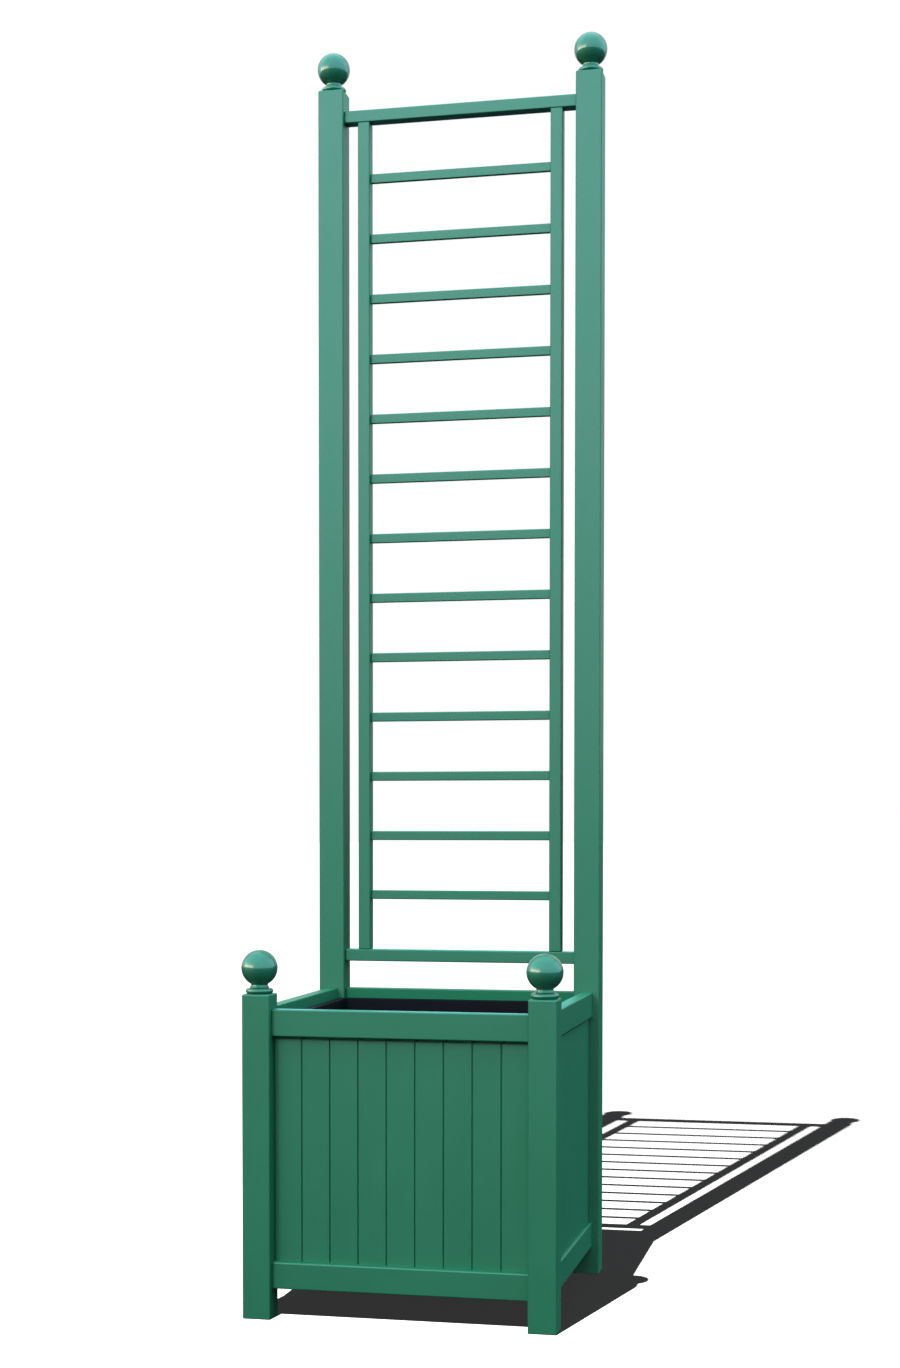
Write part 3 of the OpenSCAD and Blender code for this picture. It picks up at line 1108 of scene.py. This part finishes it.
@dataclass
class Trellis:
    """Ladder between the tall posts: two rails, two stiles and the rungs."""

    finishes: Finishes
    arris: float = 2.0
    shoulder_round: float = 1.6
    rail_tenon: Tenon = Tenon(16.0, 9.0, 17.0)
    stile_tenon: Tenon = Tenon(10.0, 17.0, 21.0)
    rung_tenon: Tenon = Tenon(8.0, 4.0, 12.0)
    rung_round: float = 1.6
    rung_count: int = 13

    def member(self, node: str, axis: Axis, tenon: Tenon, arris: float) -> None:
        """Make one straight member from its CAD node's box.

        Args:
            node: the CAD node.
            axis: the direction that it runs in.
            tenon: its tenons, which the box includes.
            arris: radius of its long edges.
        """
        skin = boxed_bar(node, axis, arris, (self.shoulder_round, self.shoulder_round), tenon)
        make_piece(f"painted_{node}", skin, self.finishes.satin[axis], [node])

    def build(self) -> None:
        """Make the rails, the stiles and the rungs."""
        for node in ("trellis_top_rail", "trellis_bottom_rail"):
            self.member(node, Axis.X, self.rail_tenon, self.arris)
        for node in ("trellis_stile_left", "trellis_stile_right"):
            self.member(node, Axis.Z, self.stile_tenon, self.arris)
        for number in range(1, self.rung_count + 1):
            self.member(f"rung_{number}", Axis.X, self.rung_tenon, self.rung_round)


@dataclass
class PlanterFloor:
    """Two bearers, the slats across them, and the countersunk screws that hold both."""

    finishes: Finishes
    arris: float = 1.2
    arris_steps: int = 4
    slat_count: int = 5
    screw_inset: float = 16.0
    head_r: float = 4.0
    head_rings: int = 9
    rim_h: float = 0.15
    shank_r: float = 2.0
    point_l: float = 8.0
    segments: int = 32
    slat_screw_l: float = 30.0
    bearer_screw_l: float = 34.0
    crown: float = 0.35
    # Depth of the cross, and half width and reach of its slots, each with the run of its soft edge
    recess: float = 1.3
    slot_half: tuple[float, float] = (0.9, 0.4)
    slot_reach: tuple[float, float] = (2.6, 0.5)
    slats: list[tuple[np.ndarray, np.ndarray]] = field(default_factory=list)

    def screw(self, length: float) -> Skin:
        """Countersunk screw with its head's rim on z = 0 and its tip down.

        The head is the crown z = crown (1 - (r / R)^2) less a cross: the recess's depth
        times the larger of two soft slots, one along each axis.

        Args:
            length: from the head's rim to the tip.

        Returns:
            The closed skin.
        """
        rim, shank, point, lip = self.head_r, self.shank_r, self.point_l, self.rim_h
        tip = [(0.0, -length), (shank / 2, point / 2 - length), (shank, point - length)]
        body = np.array([*tip, (shank, shank - rim), (rim - lip, -lip)])
        radius = rim * np.linspace(1.0, 0.0, self.head_rings)
        top = np.stack([radius, self.crown * (1 - (radius / rim) ** 2)], 1)
        skin = turned(np.concatenate([body, top]), np.zeros(3), self.segments)
        x, y, z = skin.verts.T
        across = np.minimum(np.abs(x), np.abs(y))
        (half, soft), (reach, fade) = self.slot_half, self.slot_reach
        slot = np.clip((half - across) / soft, 0, 1)
        slot *= np.clip((reach - np.hypot(x, y)) / fade, 0, 1)
        sunk = z - self.recess * slot * (z > -lip / 2)
        return Skin(np.stack([x, y, sunk], 1), skin.faces)

    def build(self) -> None:
        """Make the bearers, the slats and the screws."""
        slats = [f"floor_slat_{k + 1}" for k in range(self.slat_count)]
        self.slats = [node_box(node) for node in slats]
        ends = (self.arris, self.arris)
        for axis, nodes in ((Axis.X, ["bearer_front", "bearer_rear"]), (Axis.Y, slats)):
            for node in nodes:
                skin = boxed_bar(node, axis, self.arris, ends, steps=self.arris_steps)
                finish = self.finishes.stained[axis]
                make_piece(f"stained_{node}", skin, finish, [node])
        self.build_screws()

    def build_screws(self) -> None:
        """Stand a screw in each corner of each slat, and one in each bearer under each gap."""
        steel = self.finishes.steel
        low, high = node_box("bearer_front")
        bearer_y, inner_y, bearer_z = (low[1] + high[1]) / 2, high[1], (low[2] + high[2]) / 2
        upright = self.screw(self.slat_screw_l)
        feet = [
            np.array([x, y, slat_high[2]])
            for slat_low, slat_high in self.slats
            for x in (slat_low[0] + self.screw_inset, slat_high[0] - self.screw_inset)
            for y in (bearer_y, -bearer_y)
        ]
        skin = Skin.joined([Skin(upright.verts + foot, upright.faces) for foot in feet])
        make_piece("zinc_slat_screws", skin, steel, ["slat_screws"])
        lying = self.screw(self.bearer_screw_l)
        x, y, z = lying.verts.T
        gaps = [(a[1][0] + b[0][0]) / 2 for a, b in zip(self.slats, self.slats[1:])]
        skins = [
            Skin(np.stack([way * x, way * z, -y], 1) + (gap, way * inner_y, bearer_z), lying.faces)
            for way in (1, -1)
            for gap in gaps
        ]
        make_piece("zinc_bearer_screws", Skin.joined(skins), steel, ["bearer_screws"])


@dataclass
class Liner:
    """Black moulded liner: a square tub with drain holes and a turned-down rim."""

    finishes: Finishes
    wall: float = 3.0
    half: float = 203.0
    corner_r: float = 14.0
    rim_half: float = 213.5
    lip_h: float = 12.0
    rim_round: float = 1.4
    inner_fillet: float = 8.0
    outer_fillet: float = 9.0
    lip_round: float = 0.8
    # Roundings of the rim at a notch: its two ends and its root
    notch_rounds: tuple[float, float, float] = (4.0, 2.5, 4.0)
    rim_steps: int = 4
    bend_steps: int = 5
    drain_r: float = 6.0
    drain_reach: float = 120.0
    drain_steps: int = 28
    low: float = 0.0
    high: float = 0.0

    def wall_outline(self) -> Outline:
        """Outside of the tub, with as many points as the rim's outline."""
        return Outline.rectangle(self.half, self.half, self.corner_r, 3 * (self.rim_steps + 1) - 1)

    def rim_outline(self) -> Outline:
        """Edge of the rim, which is notched at the corners to pass the posts.

        Returns:
            Outline of twelve corners, three at each corner of the box.
        """
        a, b = self.rim_half, self.half
        quarter = np.array([[a, b], [b, b], [b, a]])
        corners = np.concatenate([quarter @ np.array([[c, s], [-s, c]]) for c, s in QUARTER_TURNS])
        return Outline(corners, np.tile(self.notch_rounds, 4), self.rim_steps)

    def rings(self) -> np.ndarray:
        """Rings from the floor inside, up the wall, over the rim and down the outside.

        Each bend of radius r is a quarter circle: r (1 - sin t) across and r (1 - cos t)
        up or down, with t from 0 to 90 degrees.

        Returns:
            Array (n, m, 3) of rings.
        """
        tub, rim = self.wall_outline(), self.rim_outline()
        t = np.radians(np.linspace(0, 90, self.bend_steps + 1))
        w, top, lip = self.wall, self.high, self.high - self.lip_h
        radii = (self.inner_fillet, self.rim_round, self.lip_round, self.outer_fillet)
        bends = [(r * (1 - np.sin(t)), r * (1 - np.cos(t))) for r in radii]
        (in_a, in_z), (rim_a, rim_z), (lip_a, lip_z), (out_a, out_z) = bends
        stations: list[tuple[Outline, float, float]] = []
        stations += [(tub, w + a, self.low + w + z) for a, z in zip(in_a, in_z)]
        stations += [(tub, w - a, top - z) for a, z in zip(rim_z, rim_a)]
        stations += [(rim, a, top - z) for a, z in zip(rim_a, rim_z)]
        stations += [(rim, a, lip + z) for a, z in zip(lip_a[::-1], lip_z[::-1])]
        stations += [(rim, w - a, lip + z) for a, z in zip(lip_a, lip_z)]
        stations += [(rim, w, top - w), (tub, 0.0, top - w)]
        stations += [(tub, a, self.low + z) for a, z in zip(out_a[::-1], out_z[::-1])]
        flat = [(outline.at(inset), z) for outline, inset, z in stations]
        return np.stack([np.concatenate([ring, np.full((len(ring), 1), z)], 1) for ring, z in flat])

    def drains(self) -> np.ndarray:
        """Centre points of the five drain holes."""
        return np.concatenate([np.zeros((1, 2)), self.drain_reach * SQUARE])

    def sheet(self, edge: np.ndarray, holes: np.ndarray) -> np.ndarray:
        """Triangles of a flat sheet inside an edge, less its holes.

        Args:
            edge: array (m, 2), the sheet's outer edge, counter-clockwise.
            holes: array (h, n, 2), one ring for each hole.

        Returns:
            Array (t, 3) of triangles, counter-clockwise, numbered over the edge and then
            the holes.
        """
        points = np.concatenate([edge, holes.reshape(-1, 2)])
        m, (h, n, _) = len(edge), holes.shape
        loops = [np.arange(m)] + list(m + np.arange(h * n).reshape(h, n))
        links = np.concatenate([np.stack([loop, np.roll(loop, -1)], 1) for loop in loops])
        how = ([], INSIDE_WITH_HOLES, MERGE_WITHIN)
        found = geometry.delaunay_2d_cdt(points.tolist(), links.tolist(), *how)
        numbers = np.array([given[0] for given in found[3]])
        return numbers[np.array(found[2])]

    def skin(self) -> Skin:
        """The tub's wall and rim, its two floor faces and the walls of its drain holes.

        Returns:
            The closed skin.
        """
        rings = self.rings()
        n, m, _ = rings.shape
        angle = np.linspace(0, 2 * np.pi, self.drain_steps, endpoint=False)
        circle = self.drain_r * np.stack([np.cos(angle), np.sin(angle)], 1)
        holes = self.drains()[:, None] + circle
        count = holes.size // 2
        levels = (self.low + self.wall, self.low)
        pits = [np.concatenate([holes.reshape(-1, 2), np.full((count, 1), z)], 1) for z in levels]
        upper = np.concatenate([np.arange(m), n * m + np.arange(count)])
        lower = np.concatenate([(n - 1) * m + np.arange(m), n * m + count + np.arange(count)])
        faces = lattice(n, m)[:, ::-1].tolist()
        faces += upper[self.sheet(rings[0, :, :2], holes)].tolist()
        faces += lower[self.sheet(rings[-1, :, :2], holes)[:, ::-1]].tolist()
        band = lattice(2, len(circle))
        band += n * m + (band >= len(circle)) * (count - len(circle))
        for k in range(len(holes)):
            faces += (band + k * len(circle)).tolist()
        return Skin(np.concatenate([rings.reshape(-1, 3)] + pits), faces)

    def build(self) -> None:
        """Make the liner, which rides on its own body."""
        low, high = node_box("liner")
        self.low, self.high = low[2], high[2]
        finish = self.finishes.plastic
        make_piece("moulded_liner", self.skin(), finish, ["liner"], "liner")


@dataclass
class HiddenDowels:
    """The dowel screws inside the posts and finials, kept as CAD solids."""

    finishes: Finishes
    node: str = "finial_dowels"

    def build(self, nodes: dict[str, bpy.types.Object]) -> None:
        """Give the kept node its plated finish.

        Args:
            nodes: the part's CAD nodes, by name.
        """
        kept = nodes[self.node]
        kept.data.materials.clear()
        kept.data.materials.append(self.finishes.steel)
        LOG.info("%s: kept as CAD node", self.node)


# --------------------------------------------------------------------- studio


class Gives(Enum):
    """What a bank gives the pieces that it reaches: light and a reflection, or one of them."""

    ALL = 0
    GLEAM = 1
    FILL = 2


@dataclass(frozen=True)
class Softbox:
    """A flat light bank.

    Attributes:
        name: the bank's name.
        place: its middle, in metres.
        aim: the point that it faces, in metres.
        size: its width and height, in metres.
        radiance: its brightness, where 1 is a white that just clips.
        tint: its colour.
    """

    name: str
    place: tuple[float, float, float]
    aim: tuple[float, float, float]
    size: tuple[float, float]
    radiance: float
    tint: str

    def build(self, lit: bpy.types.Collection, gives: Gives) -> None:
        """Hang the bank. A bank's radiance is its power over four times its area.

        Args:
            lit: the collection that says what the bank lights.
            gives: whether it lights those pieces, shows in their reflections, or both.
        """
        name = f"{self.name}_fill" if gives is Gives.FILL else self.name
        bank = bpy.data.lights.new(name, "AREA")
        bank.shape = "RECTANGLE"
        bank.size, bank.size_y = self.size
        bank.energy = 4 * self.radiance * self.size[0] * self.size[1]
        bank.color = linear(self.tint)[:3]
        lamp = stand(name, bank)
        lamp.location = self.place
        view = Vector(self.aim) - Vector(self.place)
        lamp.rotation_euler = view.to_track_quat("-Z", "Y").to_euler()
        lamp.visible_camera = False
        lamp.visible_diffuse = gives is not Gives.GLEAM
        lamp.visible_glossy = gives is not Gives.FILL
        lamp.light_linking.receiver_collection = lit
        LOG.info("%s: bank of %.1f by %.1f m", name, *self.size)


def bare_tree(owner: bpy.types.Material | bpy.types.World) -> bpy.types.NodeTree:
    """Empty the node tree of a material or a world.

    Args:
        owner: the material or the world.

    Returns:
        Its tree, without a node.
    """
    owner.use_nodes = True
    owner.node_tree.nodes.clear()
    return owner.node_tree


def stage_card(
    name: str, points: np.ndarray, faces: list[list[int]], finish: bpy.types.Material
) -> bpy.types.Object:
    """Put a flat card or floor of the studio into the scene.

    Args:
        name: the card's name.
        points: array (n, 3) in metres.
        faces: corners of each face.
        finish: its material.

    Returns:
        The new object.
    """
    mesh = bpy.data.meshes.new(name)
    mesh.from_pydata(points.tolist(), [], faces)
    mesh.materials.append(finish)
    card = stand(name, mesh)
    return card


def lit_group(name: str, members: list[bpy.types.Object], state: str) -> bpy.types.Collection:
    """Make a collection that says what a lamp lights.

    Args:
        name: the collection's name.
        members: the objects in it.
        state: INCLUDE to light these objects alone, EXCLUDE to light all but them.

    Returns:
        The collection.
    """
    group = bpy.data.collections.new(name)
    for member in members:
        group.objects.link(member)
    for entry in group.collection_objects:
        entry.light_linking.link_state = state
    return group


@dataclass
class Studio:
    """Camera, floor lit to white by its own lamps, white surround, light banks and a sky."""

    camera_place: tuple[float, float, float] = (0.765096, -3.444251, 0.78026)
    camera_yaw: float = 0.225193
    camera_pitch: float = -0.033332
    # 2135.665 pixels of focal length over the frame's 1368, on a 36 mm long side
    lens: float = 56.202
    sensor: float = 36.0
    shift: tuple[float, float] = (0.02354, 0.15367)
    clip: tuple[float, float] = (0.05, 200.0)
    # The floor near the object keeps its shadow, and the floor beyond it runs to the horizon
    near_half: float = 2.7
    far_half: float = 80.0
    floor_drop: float = 0.0003
    floor_grey: str = "#2C2C2C"
    floor_dark: str = "#161616"
    # What is left of the white floor in the shadow
    shadow_floor: str = "#303030"
    ambient: str = "#D6E6F4"
    ambient_strength: float = 0.32
    # Small bright lamp that draws the crisp shadow on the near floor, and its power
    shadow_from: tuple[float, float, float] = (-0.986, -6.167, 8.745)
    shadow_power: float = 4.0e5
    shadow_radius: float = 0.02
    # Even light on the far floor
    far_strength: float = 150.0
    # Banks that light the object
    banks: tuple[Softbox, ...] = (
        Softbox("front", (-0.5, -8.0, 3.2), (-0.5, 0.0, 2.0), (16.0, 5.0), 0.35, "#B4F0FF"),
        Softbox("key", (-1.6, -9.9, 8.6), (0.0, 0.1, 1.2), (12.8, 5.8), 1.8, "#C2E9F0"),
        Softbox("crisp_key", (-3.45, -9.2, 5.6), (0.0, -0.2, 0.6), (1.2, 1.2), 64.0, "#C2E9F0"),
        Softbox("overhead", (0.0, 0.3, 6.5), (0.0, 0.3, 0.0), (8.0, 6.0), 3.2, "#90DEFF"),
        Softbox("left", (-6.5, -2.0, 3.2), (0.0, 0.0, 0.8), (5.0, 4.0), 1.35, "#B3F9FF"),
        Softbox("right", (6.5, 0.5, 3.2), (0.0, 0.0, 0.8), (5.0, 4.0), 2.7, "#98CCFF"),
        Softbox("rear", (-1.0, 6.5, 4.8), (0.0, 0.0, 0.9), (7.0, 3.4), 0.8, "#80E0FF"),
    )
    # Banks seen in the satin paint's sheen alone, brighter with height as a hazy sky is
    gleams: tuple[Softbox, ...] = (
        Softbox("low_gleam", (0.0, -8.0, 1.2), (0.0, 0.0, 1.2), (16.0, 1.8), 0.3, "#90F0FF"),
        Softbox("sky_gleam", (0.0, -8.0, 3.4), (0.0, 0.0, 3.4), (16.0, 2.6), 4.2, "#E8C8E6"),
        Softbox("high_gleam", (0.0, -8.0, 6.2), (0.0, 0.0, 6.2), (16.0, 3.0), 4.25, "#C8B4FF"),
        Softbox("crown_gleam", (0.0, -4.6, 7.4), (0.0, 0.0, 1.0), (16.0, 3.0), 4.0, "#70D0FF"),
        Softbox("rear_gleam", (-4.5, 8.0, 3.2), (-4.5, 0.0, 3.2), (8.0, 4.0), 2.6, "#6CDCFF"),
    )
    # Wide sky far round the planter, and a low warm patch in it, that the gloss alone mirrors
    sky: tuple[Softbox, ...] = (
        Softbox("sky_front", (0.0, -60.0, 30.5), (0.0, 0.0, 30.5), (120.0, 60.0), 2.45, "#80EEFF"),
        Softbox("sky_left", (-60.0, -20.0, 30.5), (0.0, -20.0, 30.5), (80.0, 60.0), 2.45, "#80EEFF"),
        Softbox("sky_right", (60.0, -5.0, 30.5), (0.0, -5.0, 30.5), (110.0, 60.0), 2.45, "#80EEFF"),
        Softbox("sky_roof", (0.0, -30.0, 60.5), (0.0, -30.0, 0.0), (120.0, 60.0), 2.05, "#80EEFF"),
        Softbox("sky_crown", (0.0, 18.0, 60.5), (0.0, 18.0, 0.0), (120.0, 36.0), 1.7, "#80EEFF"),
        Softbox("warm_patch", (-33.4, -22.0, 7.0), (0.0, 0.0, 7.0), (50.0, 9.0), 9.0, "#FFE2B4"),
        Softbox("warm_haze", (-33.4, -22.0, 11.0), (0.0, 0.0, 11.0), (64.0, 18.0), 1.6, "#FFF0D8"),
    )
    # Rails inside the box, which the front shades from the gleams
    shaded: tuple[str, ...] = ("painted_rear_top_rail", "painted_left_top_rail")
    # Feet of the dark card behind the right side, its height and its colour
    flag_feet: tuple[tuple[float, float], ...] = ((0.5, 6.0), (7.0, 3.0))
    flag_height: float = 1.0
    flag_black: str = "#050505"

    def build_camera(self) -> None:
        """Stand the camera where the photograph was taken from."""
        data = bpy.data.cameras.new("camera")
        data.lens, data.sensor_width = self.lens, self.sensor
        data.shift_x, data.shift_y = self.shift
        data.clip_start, data.clip_end = self.clip
        camera = stand("camera", data)
        camera.location = self.camera_place
        camera.rotation_euler = (math.pi / 2 + self.camera_pitch, 0.0, self.camera_yaw)
        bpy.context.scene.camera = camera

    def build_world(self) -> None:
        """White surround for the camera and for reflections, soft ambient light for the rest."""
        world = bpy.data.worlds.new("white_surround")
        tree = bare_tree(world)
        path = add(tree, "ShaderNodeLightPath", {})
        seen = path.outputs["Is Camera Ray"]
        for ray in ("Is Glossy Ray", "Is Transmission Ray"):
            both = {0: seen, 1: path.outputs[ray]}
            seen = add(tree, "ShaderNodeMath", both, {"operation": "MAXIMUM"}).outputs[0]
        white = add(tree, "ShaderNodeBackground", {"Color": (1.0, 1.0, 1.0, 1.0), "Strength": 1.0})
        light = {"Color": linear(self.ambient), "Strength": self.ambient_strength}
        soft = add(tree, "ShaderNodeBackground", light)
        mix = add(tree, "ShaderNodeMixShader", {0: seen, 1: soft.outputs[0], 2: white.outputs[0]})
        add(tree, "ShaderNodeOutputWorld", {"Surface": mix.outputs[0]})
        bpy.context.scene.world = world

    def floor_material(self) -> bpy.types.Material:
        """Matt grey floor, lit to white, that is darker as a source of light for the object.

        Returns:
            The material.
        """
        made = bpy.data.materials.new("matt_studio_floor")
        tree = bare_tree(made)
        path = add(tree, "ShaderNodeLightPath", {})
        grey = add(tree, "ShaderNodeBsdfDiffuse", {"Color": linear(self.floor_grey)})
        dark = add(tree, "ShaderNodeBsdfDiffuse", {"Color": linear(self.floor_dark)})
        left = {"Color": linear(self.shadow_floor), "Strength": 1.0}
        glow = add(tree, "ShaderNodeEmission", left)
        lifted = add(tree, "ShaderNodeAddShader", {0: grey.outputs[0], 1: glow.outputs[0]})
        shares = {0: path.outputs["Is Diffuse Ray"], 1: lifted.outputs[0], 2: dark.outputs[0]}
        mix = add(tree, "ShaderNodeMixShader", shares)
        add(tree, "ShaderNodeOutputMaterial", {"Surface": mix.outputs[0]})
        return made

    def build_floors(self) -> tuple[bpy.types.Object, bpy.types.Object]:
        """Lay the near floor, a square, and the far floor, a frame round it.

        Returns:
            The near floor and the far one.
        """
        height = np.full((4, 1), -self.floor_drop)
        near = np.concatenate([SQUARE * self.near_half, height], 1)
        far = np.concatenate([SQUARE * self.far_half, height], 1)
        k = np.arange(4)
        frame = np.stack([k, (k + 1) % 4, (k + 1) % 4 + 4, k + 4], 1)
        finish = self.floor_material()
        near_floor = stage_card("near_floor", near, [k.tolist()], finish)
        both = np.concatenate([far, near])
        return near_floor, stage_card("far_floor", both, frame.tolist(), finish)

    def build_floor_lamps(self, near: bpy.types.Object, far: bpy.types.Object) -> None:
        """Hang the lamps that light the floors alone, and leave them dark in reflections.

        Args:
            near: the floor that the small lamp reaches. The object still blocks it.
            far: the floor that the even lamp reaches.
        """
        small = bpy.data.lights.new("near_floor_lamp", "POINT")
        small.energy, small.shadow_soft_size = self.shadow_power, self.shadow_radius
        even = bpy.data.lights.new("far_floor_lamp", "SUN")
        even.energy = self.far_strength
        for light, floor in ((small, near), (even, far)):
            light.cycles.max_bounces = 0
            lamp = stand(light.name, light)
            lamp.location = self.shadow_from
            alone = lit_group(f"{floor.name}_alone", [floor], "INCLUDE")
            lamp.light_linking.receiver_collection = alone

    def build_flag(self) -> None:
        """Stand a dark card behind the right side, seen in reflections alone, to cut its glare."""
        made = bpy.data.materials.new("black_card")
        tree = bare_tree(made)
        card = add(tree, "ShaderNodeBsdfDiffuse", {"Color": linear(self.flag_black)})
        add(tree, "ShaderNodeOutputMaterial", {"Surface": card.outputs[0]})
        (left, right), top = self.flag_feet, self.flag_height
        corners = np.array([(*left, 0.0), (*left, top), (*right, top), (*right, 0.0)])
        flag = stage_card("dark_flag", corners, [[0, 1, 2, 3]], made)
        flag.visible_camera = flag.visible_diffuse = False
        flag.visible_shadow = flag.visible_transmission = False

    def build(self) -> None:
        """Set up the whole studio."""
        bpy.context.scene.view_settings.view_transform = "Standard"
        self.build_camera()
        self.build_world()
        floors = self.build_floors()
        self.build_floor_lamps(*floors)
        self.build_flag()
        gloss = [piece for piece in bpy.data.objects if piece.name.startswith("gloss_")]
        shaded = [bpy.data.objects[name] for name in self.shaded]
        satin_side = lit_group("all_but_gloss", [*floors, *gloss], "EXCLUDE")
        open_side = lit_group("all_but_gloss_and_shaded", [*floors, *gloss, *shaded], "EXCLUDE")
        gloss_side = lit_group("gloss_alone", gloss, "INCLUDE")
        for bank in self.banks:
            bank.build(satin_side, Gives.ALL)
            bank.build(gloss_side, Gives.FILL)
        for bank in self.gleams:
            bank.build(open_side, Gives.GLEAM)
        for bank in self.sky:
            bank.build(gloss_side, Gives.GLEAM)


def main() -> None:
    """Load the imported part, dress it and set up the studio."""
    logging.basicConfig(level=logging.INFO, format="%(name)s: %(message)s")
    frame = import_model()
    finishes = Finishes().build()
    CornerPosts(finishes).build()
    Finials(finishes).build()
    BoxRails(finishes).build()
    BoardPanels(finishes).build()
    Trellis(finishes).build()
    PlanterFloor(finishes).build()
    Liner(finishes).build()
    HiddenDowels(finishes).build(frame["nodes"])
    Studio().build()


if __name__ == "__main__":
    main()
